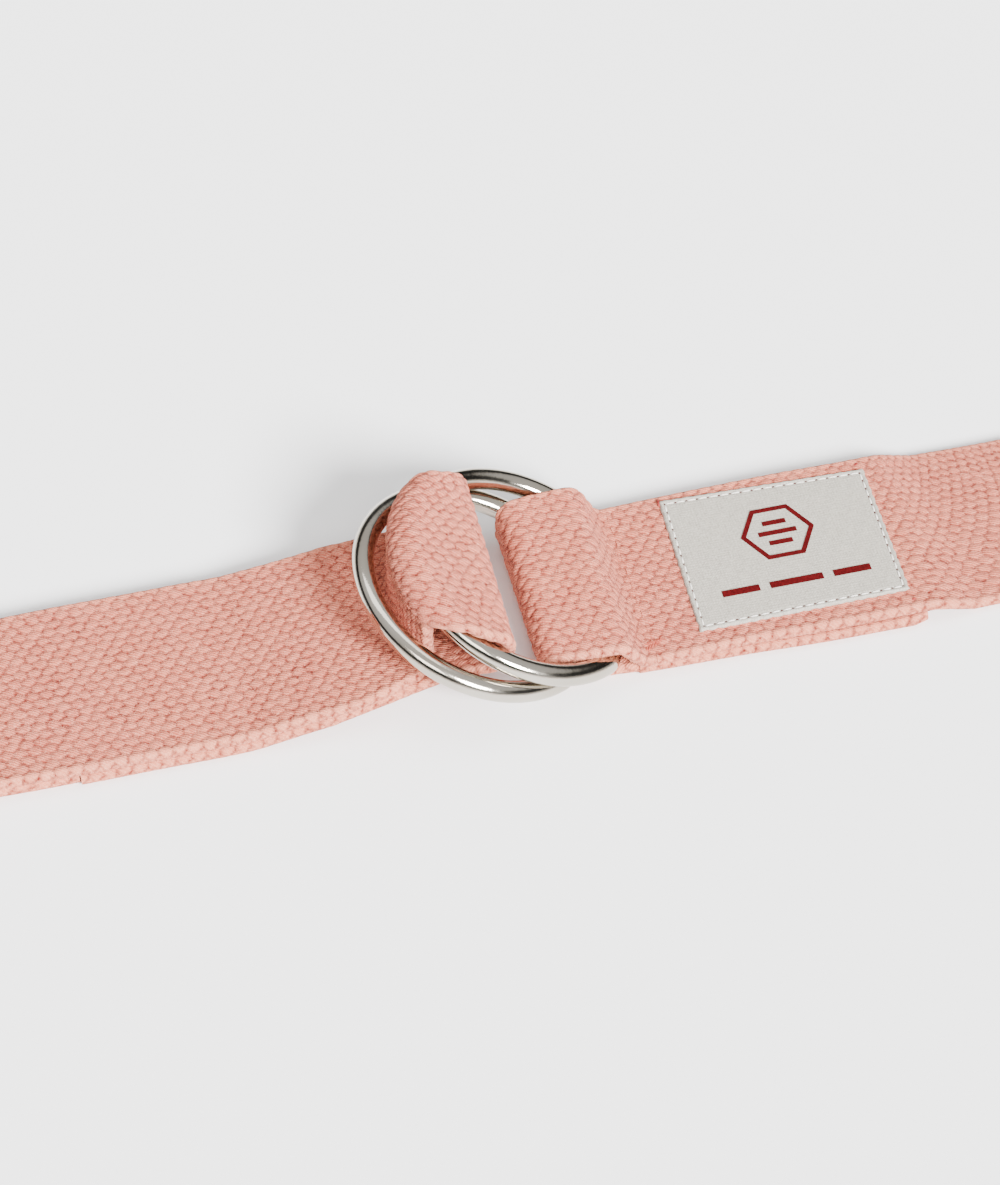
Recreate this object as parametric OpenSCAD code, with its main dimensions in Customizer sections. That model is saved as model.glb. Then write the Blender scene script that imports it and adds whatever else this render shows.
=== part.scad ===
// Stretching strap: one long band of cotton webbing with two D-rings sewn into a
// pocket at one end. The free end is threaded through both rings, so the strap is a
// closed loop. It lies flat, folded over at four corners, and the spare tail is rolled up.
//
// Frame: +X runs along the strap from the rings towards the sewn label, +Z is up, and
// the origin lies on the resting plane, under the label, on the band's centre line.

/* [Webbing] */
// Width of the band
band_w = 38; // [30:1:38]
// Thickness of one layer of the band
band_t = 2; // [1.6:0.1:2]
// Length of the whole band, hem to hem
band_len = 1830; // [1500:10:2500]

/* [D-rings] */
// Diameter of the ring wire
wire_d = 4; // [3:0.1:4]
// Clear width inside the ring's bow
ring_inside = 40.2; // [40:0.1:41]
// Distance from the bow's centre to the straight bar
bar_x = 13.2; // [12.5:0.1:13.5]
// Radius of the bend between bow and bar
bar_bend = 3.4; // [3:0.1:4]
// How far both rings lean across the strap, in degrees
ring_lean = 4.5; // [3:0.5:5]
// How far the outer ring is propped up at its bow, in degrees
outer_prop = 23.5; // [23:0.5:24]
// How far the inner ring is propped up at its bow, in degrees
inner_prop = 25.5; // [25:0.5:26]

/* [Sewn end] */
// Cross seam that closes the ring pocket
seam_x = -32.3; // [-32.5:0.1:-31]
// End of the layer that is folded under
fold_end_x = 21.5; // [21:0.5:26]
// Label length along the strap
label_l = 39.5; // [36:0.5:40]
// Label width across the strap
label_w = 31; // [28:0.5:32]
// Label thickness
label_t = 0.5; // [0.3:0.1:0.6]

/* [Laid loop] */
// Corner where the main run folds over, past the label
corner_right_x = 73; // [70:1:120]
// Corner where the band folds back into the load run
corner_left_x = -195; // [-230:1:-195]
// Distance from the strap to the far side of the loop
loop_depth = 165; // [120:1:250]

/* [Hidden] */

// Levels of the layers' middles, from the resting plane up
level_1 = band_t / 2;
level_2 = band_t * 3 / 2;
level_3 = band_t * 5 / 2;

// Rings: radius of the wire's centre line along the bow, and the two bows' centres
wire_r = wire_d / 2;
bow_r = ring_inside / 2 + wire_r;
outer_centre = [-57.9, -1.6, 10.8];
inner_centre = [-49.4, -0.7, 11.8];
bend_x = bar_x - bar_bend;
bend_y = sqrt(pow(bow_r - bar_bend, 2) - pow(bend_x, 2));
bend_angle = atan2(bend_y, bend_x);
// The wire is drawn a hair thinner in the bends
bend_thinning = 0.02;
// Gap left between the webbing and the wire that turns in it
wire_gap = 0.35;
// Distance from a wire's middle to the middle of webbing laid round it
hug = wire_r + wire_gap + band_t / 2;

// Fold of webbing over the inner ring
wrap_right_x = -56.4;
wrap_low_z = 8;
wrap_split_x = -65;
wrap_half_w = 16;
rise_end = 4.9;
ply_gap = 0.06;
tail_squeeze_w = 13;
rise_x = -102;
pocket_half_w = 15.5;

// A leg of the loop starts on top of the leg before it, then steps down beside it
step_start = band_w / 2 + 2;
step_end = step_start + 9;

// The tail passes over the left corner, comes down to the resting plane and is rolled up
bridge_start_x = -149;
bridge_end_x = corner_left_x - step_start - 20;
roll_x = bridge_end_x - 18;
roll_core_r = 7;
roll_lip = 4;
roll_pitch = band_t + 0.15;
hem_len = 12;
sewn_thread_t = 0.35;
// Sideways shift of the folded-under layer
fold_shift = 0.6;
label_centre = [0, 0.7];
label_z = 2 * band_t;

// ---- outlines ----

function unit(v) = v / norm(v);

// Points of a path with rounded corners. Each corner is [x, z, radius]; the ends have none.
function corner_arc(a, b, c, steps = 6) =
    let (
        p = [b[0], b[1]],
        u = unit([a[0], a[1]] - p),
        v = unit([c[0], c[1]] - p),
        half = acos(u * v) / 2,
        mid = p + unit(u + v) * b[2] / sin(half),
        start = p + u * b[2] / tan(half) - mid,
        side = sign(u[0] * v[1] - u[1] * v[0]),
        sweep = -side * (180 - 2 * half)
    )
    [for (i = [0:steps])
        let (w = sweep * i / steps)
        mid + [start[0] * cos(w) - start[1] * sin(w), start[0] * sin(w) + start[1] * cos(w)]];

function rounded(c, steps = 6) = concat(
    [[c[0][0], c[0][1]]],
    [for (i = [1:len(c) - 2]) each corner_arc(c[i - 1], c[i], c[i + 1], steps)],
    [[c[len(c) - 1][0], c[len(c) - 1][1]]]);

// Unit normal of a path at point i
function path_normal(p, i) =
    let (d = unit(p[min(i + 1, len(p) - 1)] - p[max(i - 1, 0)]))
    [-d[1], d[0]];

function path_length(p) =
    len(p) < 2 ? 0 : [for (i = 1, s = 0; i <= len(p); s = s + norm(p[min(i, len(p) - 1)] - p[i - 1]), i = i + 1) s][len(p) - 1];

function ribbon(p, t = band_t) = concat(
    [for (i = [0:len(p) - 1]) p[i] + path_normal(p, i) * t / 2],
    [for (i = [len(p) - 1:-1:0]) p[i] - path_normal(p, i) * t / 2]);

// A band of constant width that follows a path in the XZ plane
module straight_band(p, shift = 0) {
    translate([0, shift, 0])
        rotate([90, 0, 0])
            linear_extrude(band_w, center = true)
                polygon(ribbon(p));
}

// ---- curved bands: a grid of points, i across the width and k along the length ----

function flat_faces(ni, nk, base, up) = [
    for (i = [0:ni - 2], k = [0:nk - 2])
        let (a = base + i * nk + k, b = a + 1, c = a + nk + 1, d = a + nk)
        each (up ? [[a, b, c], [a, c, d]] : [[c, b, a], [d, c, a]])];

function rim_faces(ni, nk) =
    let (n = ni * nk)
    concat(
        [for (k = [0:nk - 2]) each [[k + 1, k, n + k], [k + 1, n + k, n + k + 1]]],
        [for (k = [0:nk - 2])
            let (a = (ni - 1) * nk + k)
            each [[a, a + 1, n + a + 1], [a, n + a + 1, n + a]]],
        [for (i = [0:ni - 2]) let (a = i * nk) each [[a, a + nk, n + a + nk], [a, n + a + nk, n + a]]],
        [for (i = [0:ni - 2])
            let (a = i * nk + nk - 1)
            each [[a + nk, a, n + a], [a + nk, n + a, n + a + nk]]]);

// path_at(y) gives the path at that distance from the centre line, always with the same
// number of points; half_w(k, count) gives the half width at point k.
module curved_band(path_at, half_w, across = 12) {
    count = len(path_at(0));
    grid = [for (i = [0:across])
        [for (k = [0:count - 1])
            let (
                y = (2 * i / across - 1) * half_w(k, count),
                p = path_at(y),
                n = path_normal(p, k) * band_t / 2
            )
            [[p[k][0], y, p[k][1]], [n[0], 0, n[1]]]]];
    above = [for (row = grid) for (q = row) q[0] + q[1]];
    below = [for (row = grid) for (q = row) q[0] - q[1]];
    ni = across + 1;
    polyhedron(
        concat(above, below),
        concat(
            flat_faces(ni, count, 0, true),
            flat_faces(ni, count, ni * count, false),
            rim_faces(ni, count)));
}

// ---- where the rings are ----

// Middle of a ring's bow where it crosses the plane at y: [x, z, half width of the wire there]
function bow_at(centre, prop, y) =
    let (
        twist = sin(prop) * sin(ring_lean),
        first = (y - centre[1]) / cos(ring_lean),
        v = (y - centre[1] + sqrt(bow_r * bow_r - first * first) * twist) / cos(ring_lean),
        u = -sqrt(bow_r * bow_r - v * v)
    )
    [centre[0] + u * cos(prop),
        centre[2] + v * sin(ring_lean) - u * sin(prop) * cos(ring_lean),
        wire_r * bow_r / abs(u)];

// Middle of a ring's straight bar at y: [x, z]
function bar_at(centre, prop, y) =
    [centre[0] + bar_x * cos(prop), centre[2] - bar_x * sin(prop) + (y - centre[1]) * tan(ring_lean)];

// ---- paths round the rings ----

// Height of the fold's upper layer at x, on the plane at y
function wrap_top(x, y) =
    let (b = bow_at(inner_centre, inner_prop, y))
    b[1] + hug / cos(inner_prop) - (x - b[0]) * tan(inner_prop);

function riser_x(y) =
    let (b = bow_at(inner_centre, inner_prop, y))
    b[0] - b[2] - wire_gap - band_t / 2;

function load_z(x) = level_1 + (wrap_low_z - level_1) * (x - rise_x) / (wrap_right_x - rise_x);

function wrap_path(y) = rounded([
    [riser_x(y), wrap_top(riser_x(y), y) - rise_end],
    [riser_x(y), wrap_top(riser_x(y), y), 3],
    [wrap_right_x, wrap_top(wrap_right_x, y), 3.6],
    [wrap_right_x, wrap_low_z, 3.6],
    [wrap_split_x, load_z(wrap_split_x)]]);

function tail_rise_path(y) = rounded([
    [rise_x - 6, level_2 + ply_gap],
    [rise_x, level_2 + ply_gap, 30],
    [riser_x(y), load_z(riser_x(y)) + band_t + 4 * ply_gap, 4],
    [riser_x(y), wrap_top(riser_x(y), y) - rise_end - ply_gap]]);

function load_rise_path() = rounded([
    [rise_x - 6, level_1],
    [rise_x, level_1, 30],
    [wrap_split_x - 0.05, load_z(wrap_split_x)]]);

function pocket_path(y) =
    let (
        a = bar_at(outer_centre, outer_prop, y),
        b = bar_at(inner_centre, inner_prop, y)
    )
    rounded([
        [seam_x, level_1],
        [a[0] - hug, level_1, 2.9],
        [a[0] - hug, a[1] + hug, 2.9],
        [b[0] + 1.9, b[1] + hug, 3],
        [seam_x + 0.5, level_2 + ply_gap, 1.02],
        [seam_x + 1.2, level_2 + ply_gap]]);

// ---- webbing ----

// A leg of the loop, from a corner at the origin along +X to the next corner. Each end is
// cut on the slant where the band folds over, and the start lies on the leg before it.
module leg(length) {
    intersection() {
        straight_band(leg_path(length + band_w / 2));
        linear_extrude(3 * band_t)
            polygon([
                [-band_w / 2, -band_w / 2],
                [length + band_w / 2, -band_w / 2],
                [length - band_w / 2, band_w / 2],
                [band_w / 2, band_w / 2]]);
    }
}

function leg_path(length) = rounded([
    [-band_w / 2, level_2],
    [step_start, level_2, 5],
    [step_end, level_1, 5],
    [length, level_1]]);

module leg_right() {
    color("lightpink")
        translate([corner_right_x, 0, 0])
            rotate([0, 0, -90])
                leg(loop_depth);
}

module leg_near() {
    color("lightpink")
        translate([corner_right_x, -loop_depth, 0])
            rotate([0, 0, 180])
                leg(corner_right_x - corner_left_x);
}

module leg_left() {
    color("lightpink")
        translate([corner_left_x, -loop_depth, 0])
            rotate([0, 0, 90])
                leg(loop_depth);
}

// The rounded edge of one fold, where the band turns over from one leg to the next
module corner_fold() {
    rotate([0, 0, 45])
        intersection() {
            translate([0, 0, band_t])
                rotate([0, 90, 0])
                    cylinder(r = band_t, h = band_w * sqrt(2), center = true, $fn = 48);
            translate([-band_w, 0, 0])
                cube([2 * band_w, band_t, 2 * band_t]);
        }
}

module corner_folds() {
    color("lightpink")
        for (i = [0:3])
            translate([
                i < 2 ? corner_right_x : corner_left_x,
                i == 1 || i == 2 ? -loop_depth : 0,
                0])
                rotate([0, 0, -90 * (i + 1)])
                    corner_fold();
}

// The load run is the loop's last leg, and ends where the band starts to rise to the rings
module load_run() {
    color("lightpink")
        translate([corner_left_x, 0, 0])
            intersection() {
                straight_band(leg_path(rise_x - 6 - corner_left_x));
                linear_extrude(3 * band_t)
                    polygon([
                        [-band_w / 2, -band_w / 2],
                        [-corner_left_x, -band_w / 2],
                        [-corner_left_x, band_w / 2],
                        [band_w / 2, band_w / 2]]);
            }
}

module load_rise() {
    color("lightpink") straight_band(load_rise_path());
}

module ring_wrap() {
    color("lightpink") curved_band(function (y) wrap_path(y), function (k, n) wrap_half_w);
}

module tail_rise() {
    color("lightpink")
        curved_band(
            function (y) tail_rise_path(y),
            function (k, n) k < 9 ? band_w / 2 : tail_squeeze_w);
}

module tail_run() {
    color("lightpink") straight_band([[bridge_start_x, level_2], [rise_x - 6, level_2]]);
}

bridge_path = rounded([
    [bridge_start_x, level_2],
    [bridge_start_x - 1.5, level_2, 8],
    [bridge_start_x - 13, level_3 + 0.05, 8],
    [bridge_end_x + 18, level_3 + 0.05, 8],
    [bridge_end_x + 2, level_1, 8],
    [bridge_end_x, level_1]]);

module tail_bridge() {
    color("lightpink") straight_band(bridge_path);
}

// What the laid part of the band uses, so the roll holds the rest
laid_len = path_length(pocket_path(0))
    + (fold_end_x - seam_x)
    + (corner_right_x - seam_x)
    + 2 * loop_depth
    + (corner_right_x - corner_left_x)
    + (rise_x - 6 - corner_left_x)
    + path_length(load_rise_path())
    + path_length(wrap_path(0))
    + path_length(tail_rise_path(0))
    + (rise_x - 6 - bridge_start_x)
    + path_length(bridge_path)
    + (bridge_end_x - roll_x);
roll_len = band_len - laid_len;
roll_r = sqrt(pow(roll_core_r, 2) + roll_len * roll_pitch / PI);

module tail_floor() {
    color("lightpink")
        difference() {
            translate([roll_x + roll_lip, -band_w / 2, 0])
                cube([bridge_end_x - roll_x - roll_lip, band_w, band_t]);
            translate([roll_x, 0, roll_r])
                rotate([90, 0, 0])
                    cylinder(r = roll_r + 0.02, h = band_w + 2, center = true, $fn = 96);
        }
}

module tail_roll() {
    color("lightpink")
        translate([roll_x, 0, roll_r])
            rotate([90, 0, 0])
                difference() {
                    cylinder(r = roll_r, h = band_w, center = true, $fn = 96);
                    cylinder(r = roll_core_r, h = band_w + 2, center = true, $fn = 48);
                }
}

// The band's free end, folded over once and sewn, at the heart of the roll
module tail_hem() {
    color("lightpink")
        translate([roll_x, 0, roll_r])
            intersection() {
                translate([roll_core_r - hem_len / 2, 0, 0])
                    cube([hem_len, band_w, 2 * band_t], center = true);
                rotate([90, 0, 0])
                    cylinder(r = roll_core_r - ply_gap, h = band_w + 2, center = true, $fn = 48);
            }
}

module hem_thread() {
    color("peachpuff")
        for (side = [-1, 1])
            translate([roll_x, 0, roll_r + side * (band_t + sewn_thread_t / 2)])
                stitch_row(band_w - 4, sewn_thread_t);
}

module ring_pocket() {
    color("lightpink") curved_band(function (y) pocket_path(y), function (k, n) pocket_half_w);
}

module fold_under() {
    color("lightpink")
        translate([seam_x, -band_w / 2 - fold_shift, 0])
            cube([fold_end_x - seam_x, band_w, band_t]);
}

module label_run() {
    color("lightpink")
        translate([seam_x + 1.2, -band_w / 2, band_t])
            cube([fold_end_x - seam_x - 1.2, band_w, band_t]);
}

module main_run() {
    color("lightpink")
        intersection() {
            straight_band(rounded([
                [fold_end_x, level_2],
                [fold_end_x + 2, level_2, 5],
                [fold_end_x + 9, level_1, 5],
                [corner_right_x + band_w / 2, level_1]]));
            linear_extrude(3 * band_t)
                polygon([
                    [0, -band_w / 2],
                    [corner_right_x + band_w / 2, -band_w / 2],
                    [corner_right_x - band_w / 2, band_w / 2],
                    [0, band_w / 2]]);
        }
}

// ---- rings ----

module wire_hoop(r, section_r) {
    rotate_extrude($fn = 96)
        translate([r, 0])
            circle(r = section_r, $fn = 48);
}

// The space between two directions from the origin, out to distance r
module wedge(r, from, to) {
    linear_extrude(4 * wire_r, center = true)
        polygon([
            [0, 0],
            r * [cos(from), sin(from)],
            r * 1.5 * [cos((from + to) / 2), sin((from + to) / 2)],
            r * [cos(to), sin(to)]]);
}

module d_ring() {
    difference() {
        wire_hoop(bow_r, wire_r);
        wedge(2 * bow_r, -bend_angle, bend_angle);
    }
    for (side = [-1, 1])
        translate([bend_x, side * bend_y, 0])
            intersection() {
                wire_hoop(bar_bend, wire_r - bend_thinning);
                wedge(4 * bar_bend, min(0, side * bend_angle), max(0, side * bend_angle));
            }
    translate([bar_x, 0, 0])
        rotate([90, 0, 0])
            cylinder(r = wire_r, h = 2 * bend_y, center = true, $fn = 48);
}

module place_ring(centre, prop) {
    translate(centre)
        rotate([ring_lean, 0, 0])
            rotate([0, prop, 0])
                children();
}

module outer_ring() {
    color("silver") place_ring(outer_centre, outer_prop) d_ring();
}

module inner_ring() {
    color("silver") place_ring(inner_centre, inner_prop) d_ring();
}

// ---- stitching and label ----

// A row of lock stitches across the strap, centred on the origin
module stitch_row(length, height, pitch = 2.6, stitch = 1.9, width = 0.6) {
    count = floor(length / pitch);
    for (i = [0:count - 1])
        translate([0, (i - (count - 1) / 2) * pitch, 0])
            cube([width, stitch, height], center = true);
}

module seam_thread() {
    color("salmon")
        translate([seam_x + 2, 0, label_z + sewn_thread_t / 2])
            stitch_row(band_w - 3, sewn_thread_t);
}

// A few tight stitches over each other where the cross seam starts
module back_tack() {
    color("indianred")
        for (i = [0:2])
            translate([seam_x + 4.2 + i * 1.3, -band_w / 2 + 3.2 + i * 0.9, label_z + sewn_thread_t / 2])
                rotate([0, 0, 35])
                    cube([2.2, 0.6, sewn_thread_t], center = true);
}

module fold_end_thread() {
    color("salmon")
        for (side = [-1, 1])
            translate([fold_end_x - 2.4, side * (band_w / 2 - 2.1) + 0.15, label_z + sewn_thread_t / 2])
                cube([1.2, 1.4, sewn_thread_t], center = true);
}

module label() {
    color("gainsboro")
        translate([label_centre[0], label_centre[1], label_z + label_t / 2])
            cube([label_l, label_w, label_t], center = true);
}

module label_thread() {
    inset = 1.1;
    color("white")
        translate([label_centre[0], label_centre[1], label_z + label_t + 0.1]) {
            for (side = [-1, 1]) {
                translate([side * (label_l / 2 - inset), 0, 0])
                    stitch_row(label_w - 3, 0.2, 1.6, 1.1, 0.35);
                translate([0, side * (label_w / 2 - inset), 0])
                    rotate([0, 0, 90])
                        stitch_row(label_l - 3, 0.2, 1.6, 1.1, 0.35);
            }
        }
}

// A plain woven device: a six-sided frame with three bars in it, over a broken line
module label_motif() {
    frame_r = 7;
    line_w = 1;
    height = 0.1;
    color("maroon")
        translate([label_centre[0], label_centre[1], label_z + label_t]) {
            translate([0, 3.5, 0])
                difference() {
                    cylinder(r = frame_r, h = height, $fn = 6);
                    translate([0, 0, -1])
                        cylinder(r = frame_r - line_w, h = height + 2, $fn = 6);
                }
            for (i = [-1:1])
                translate([0, 3.5 + i * 2.4, height / 2])
                    cube([i == 0 ? 7.2 : 4.4, line_w, height], center = true);
            for (dash = [[-10.5, 7], [0, 10], [10.5, 7]])
                translate([dash[0], -8.5, height / 2])
                    cube([dash[1], line_w * 1.4, height], center = true);
        }
}

ring_pocket();
fold_under();
label_run();
main_run();
leg_right();
leg_near();
leg_left();
corner_folds();
load_run();
load_rise();
ring_wrap();
tail_rise();
tail_run();
tail_bridge();
tail_floor();
tail_roll();
tail_hem();
hem_thread();
outer_ring();
inner_ring();
seam_thread();
back_tack();
fold_end_thread();
label();
label_thread();
label_motif();
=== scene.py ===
"""A stretching strap with two D-rings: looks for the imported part, with a floor, lights and a camera."""

import math

import bpy
import numpy as np
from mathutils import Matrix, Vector


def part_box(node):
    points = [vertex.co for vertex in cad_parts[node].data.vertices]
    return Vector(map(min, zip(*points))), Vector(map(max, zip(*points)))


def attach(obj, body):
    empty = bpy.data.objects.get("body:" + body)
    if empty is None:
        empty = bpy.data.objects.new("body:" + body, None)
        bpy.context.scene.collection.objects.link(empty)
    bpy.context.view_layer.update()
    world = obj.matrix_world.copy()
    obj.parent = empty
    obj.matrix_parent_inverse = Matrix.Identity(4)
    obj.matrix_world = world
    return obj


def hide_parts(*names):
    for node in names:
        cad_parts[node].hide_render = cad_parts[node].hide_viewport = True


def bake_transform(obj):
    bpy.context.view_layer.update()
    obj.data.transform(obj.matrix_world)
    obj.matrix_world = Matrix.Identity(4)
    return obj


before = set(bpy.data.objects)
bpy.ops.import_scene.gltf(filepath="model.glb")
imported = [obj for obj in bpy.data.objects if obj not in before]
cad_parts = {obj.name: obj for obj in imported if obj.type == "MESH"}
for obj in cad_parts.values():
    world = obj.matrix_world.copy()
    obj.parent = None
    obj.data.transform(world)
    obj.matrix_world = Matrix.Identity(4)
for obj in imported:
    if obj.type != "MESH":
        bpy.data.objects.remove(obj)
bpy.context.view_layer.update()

# Everything is worked out in millimetres and turned into metres when a mesh is made.
MM = 0.001


def box_mm(node):
    """Lowest and highest corner of a CAD node, in millimetres."""
    low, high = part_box(node)
    return [value / MM for value in low], [value / MM for value in high]


# ---------------------------------------------------------------- sizes

FOLD_LOW, FOLD_HIGH = box_mm("fold_under")
BAND_W = FOLD_HIGH[1] - FOLD_LOW[1]
BAND_T = FOLD_HIGH[2] - FOLD_LOW[2]
HALF_W = BAND_W / 2
LEVEL_1 = BAND_T / 2
LEVEL_2 = BAND_T * 3 / 2
LEVEL_3 = BAND_T * 5 / 2
SEAM_X = FOLD_LOW[0]
FOLD_END_X = FOLD_HIGH[0]
LABEL_RUN_X = SEAM_X + 3.0

# The D-rings, as in the CAD: wire, bow and bar, where the bows' centres are, and how they lean.
WIRE_R = 2.0
BOW_R = 22.1
BAR_X = 13.2
RING_LEAN = math.radians(4.5)
OUTER_CENTRE = (-57.9, -1.6, 10.8)
INNER_CENTRE = (-49.4, -0.7, 11.8)
OUTER_PROP = math.radians(23.5)
INNER_PROP = math.radians(25.5)
WIRE_GAP = 0.35
SHORTEST_REACH = 5.0
WIDEST_WIRE = 4.2
HUG = WIRE_R + WIRE_GAP + BAND_T / 2

# The fold over the inner ring and the rise up to it
WRAP_RIGHT_X = -56.4
WRAP_LOW_Z = 8.0
WRAP_SPLIT_X = -65.0
RISE_END = 4.9
TAIL_GAP = 0.2
RISE_X = -102.0
RISE_START_X = RISE_X - 6

# The laid loop, its folded corners, and the roll
CORNER_RIGHT_X = box_mm("leg_near")[1][0] - HALF_W
CORNER_LEFT_X = box_mm("leg_near")[0][0] + HALF_W
LOOP_DEPTH = -(box_mm("leg_near")[0][1] + HALF_W)
STEP_START = HALF_W + 2
STEP_END = STEP_START + 9
BRIDGE_START_X = box_mm("tail_run")[0][0]
BRIDGE_END_X = CORNER_LEFT_X - STEP_START - 20
ROLL_LOW, ROLL_HIGH = box_mm("tail_roll")
ROLL_R = (ROLL_HIGH[0] - ROLL_LOW[0]) / 2
ROLL_X = (ROLL_HIGH[0] + ROLL_LOW[0]) / 2
ROLL_CORE_R = 7.0
ROLL_PITCH = BAND_T + 0.15

# The weave: rows of floats side by side, each row half a float ahead of its neighbour
ROWS = 22
ROW_PITCH = BAND_W / ROWS
FLOAT_PERIOD = 2.6
FLOAT_LIFT = 0.26
FLOAT_DOME = 0.85
FLOAT_FLOOR = 0.13
WEAVE_DEPTH = 0.38
FINE_STEP = 0.24
COARSE_STEP = 0.55
EDGE_ROUND = 1.0


# ---------------------------------------------------------------- paths

def unit(v):
    """A vector of length 1 in v's direction."""
    v = np.asarray(v, float)
    return v / np.linalg.norm(v)


def corner_arc(before, corner, after, radius, steps):
    """Points of the arc that rounds one corner of a path."""
    u = unit(before - corner)
    v = unit(after - corner)
    half = math.acos(float(np.clip(u @ v, -1, 1))) / 2
    middle = corner + unit(u + v) * radius / math.sin(half)
    start = corner + u * radius / math.tan(half) - middle
    side = math.copysign(1, u[0] * v[1] - u[1] * v[0])
    sweep = -side * (math.pi - 2 * half)
    turns = np.linspace(0, sweep, steps + 1)
    cos, sin = np.cos(turns), np.sin(turns)
    return middle + np.stack([start[0] * cos - start[1] * sin, start[0] * sin + start[1] * cos], 1)


def rounded(corners, steps=14):
    """A path from corners (x, z, radius), whose two ends have no radius."""
    points = [np.array(corners[0][:2], float)[None]]
    for before, corner, after in zip(corners, corners[1:], corners[2:]):
        places = [np.array(c[:2], float) for c in (before, corner, after)]
        points.append(corner_arc(*places, corner[2], steps))
    points.append(np.array(corners[-1][:2], float)[None])
    return np.concatenate(points)


def path_length(points):
    """Length of a path of points."""
    return float(np.linalg.norm(np.diff(points, axis=0), axis=1).sum())


def spaced(points, count, length=None):
    """The same path, or its first part of the given length, with count points at even distances."""
    steps = np.linalg.norm(np.diff(points, axis=0), axis=1)
    at = np.concatenate([[0], np.cumsum(steps)])
    want = np.linspace(0, at[-1] if length is None else length, count)
    return np.stack([np.interp(want, at, points[:, axis]) for axis in (0, 1)], 1)


def bow_at(centre, prop, y):
    """Middle of a ring's bow where it crosses the plane at y, and the wire's half width there."""
    twist = math.sin(prop) * math.sin(RING_LEAN)
    first = (y - centre[1]) / math.cos(RING_LEAN)
    reach = math.sqrt(max(BOW_R**2 - first**2, 0))
    v = (y - centre[1] + reach * twist) / math.cos(RING_LEAN)
    u = -math.sqrt(max(BOW_R**2 - v**2, SHORTEST_REACH**2))
    x = centre[0] + u * math.cos(prop)
    z = centre[2] + v * math.sin(RING_LEAN) - u * math.sin(prop) * math.cos(RING_LEAN)
    return x, z, min(WIRE_R * BOW_R / abs(u), WIDEST_WIRE)


def bar_at(centre, prop, y):
    """Middle of a ring's straight bar at y."""
    x = centre[0] + BAR_X * math.cos(prop)
    z = centre[2] - BAR_X * math.sin(prop) + (y - centre[1]) * math.tan(RING_LEAN)
    return x, z


def wrap_top(x, y):
    """Height of the fold's upper layer over the inner ring."""
    bow_x, bow_z, _ = bow_at(INNER_CENTRE, INNER_PROP, y)
    return bow_z + HUG / math.cos(INNER_PROP) - (x - bow_x) * math.tan(INNER_PROP)


def riser_x(y):
    """Where the tail stands up between the two rings."""
    bow_x, _, half = bow_at(INNER_CENTRE, INNER_PROP, y)
    return bow_x - half - WIRE_GAP - BAND_T / 2


def load_z(x):
    """Height of the loaded layer as it rises to the rings."""
    return LEVEL_1 + (WRAP_LOW_Z - LEVEL_1) * (x - RISE_X) / (WRAP_RIGHT_X - RISE_X)


def wrap_path(y):
    """From the tail's end over the inner ring's bow and back under it."""
    x = riser_x(y)
    return rounded([
        (x, wrap_top(x, y) - RISE_END),
        (x, wrap_top(x, y), 3),
        (WRAP_RIGHT_X, wrap_top(WRAP_RIGHT_X, y), 3.6),
        (WRAP_RIGHT_X, WRAP_LOW_Z, 3.6),
        (WRAP_SPLIT_X, load_z(WRAP_SPLIT_X)),
    ])


def tail_rise_path(y):
    """From the flat tail up between the two rings."""
    x = riser_x(y)
    return rounded([
        (RISE_START_X, LEVEL_2),
        (RISE_X, LEVEL_2, 30),
        (x, load_z(x) + BAND_T + TAIL_GAP, 4),
        (x, wrap_top(x, y) - RISE_END),
    ])


def load_rise_path(y):
    """From the flat loaded layer up to the underside of the fold."""
    return rounded([
        (RISE_START_X, LEVEL_1),
        (RISE_X, LEVEL_1, 30),
        (WRAP_SPLIT_X, load_z(WRAP_SPLIT_X)),
    ])


def pocket_path(y):
    """From the seam round both rings' straight bars and back."""
    outer_x, outer_z = bar_at(OUTER_CENTRE, OUTER_PROP, y)
    inner_x, inner_z = bar_at(INNER_CENTRE, INNER_PROP, y)
    return rounded([
        (SEAM_X, LEVEL_1),
        (outer_x - HUG, LEVEL_1, 2.9),
        (outer_x - HUG, outer_z + HUG, 2.9),
        (inner_x + 1.9, inner_z + HUG, 3),
        (SEAM_X + 0.6, LEVEL_2, 3.2),
        (LABEL_RUN_X, LEVEL_2),
    ])


def flat_path(x0, x1, z):
    """A path function for a flat stretch."""
    return lambda y: np.array([(x0, z), (x1, z)], float)


def main_path(y):
    """From the end of the folded layer down to the floor and on to the first corner."""
    return rounded([
        (FOLD_END_X, LEVEL_2),
        (FOLD_END_X + 2, LEVEL_2, 5),
        (FOLD_END_X + 9, LEVEL_1, 5),
        (CORNER_RIGHT_X - y, LEVEL_1),
    ])


def leg_path(length, cut_end=True):
    """A path function for a leg of the loop, from its corner at the origin along +X."""
    return lambda y: rounded([
        (y, LEVEL_2),
        (STEP_START, LEVEL_2, 5),
        (STEP_END, LEVEL_1, 5),
        (length - (y if cut_end else 0), LEVEL_1),
    ])


def bridge_path(y):
    """Over the fourth corner, from the floor up and down again."""
    top = LEVEL_3 + 0.05
    return rounded([
        (BRIDGE_END_X, LEVEL_1),
        (BRIDGE_END_X + 2, LEVEL_1, 8),
        (BRIDGE_END_X + 18, top, 8),
        (BRIDGE_START_X - 13, top, 8),
        (BRIDGE_START_X - 1.5, LEVEL_2, 8),
        (BRIDGE_START_X, LEVEL_2),
    ])


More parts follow.
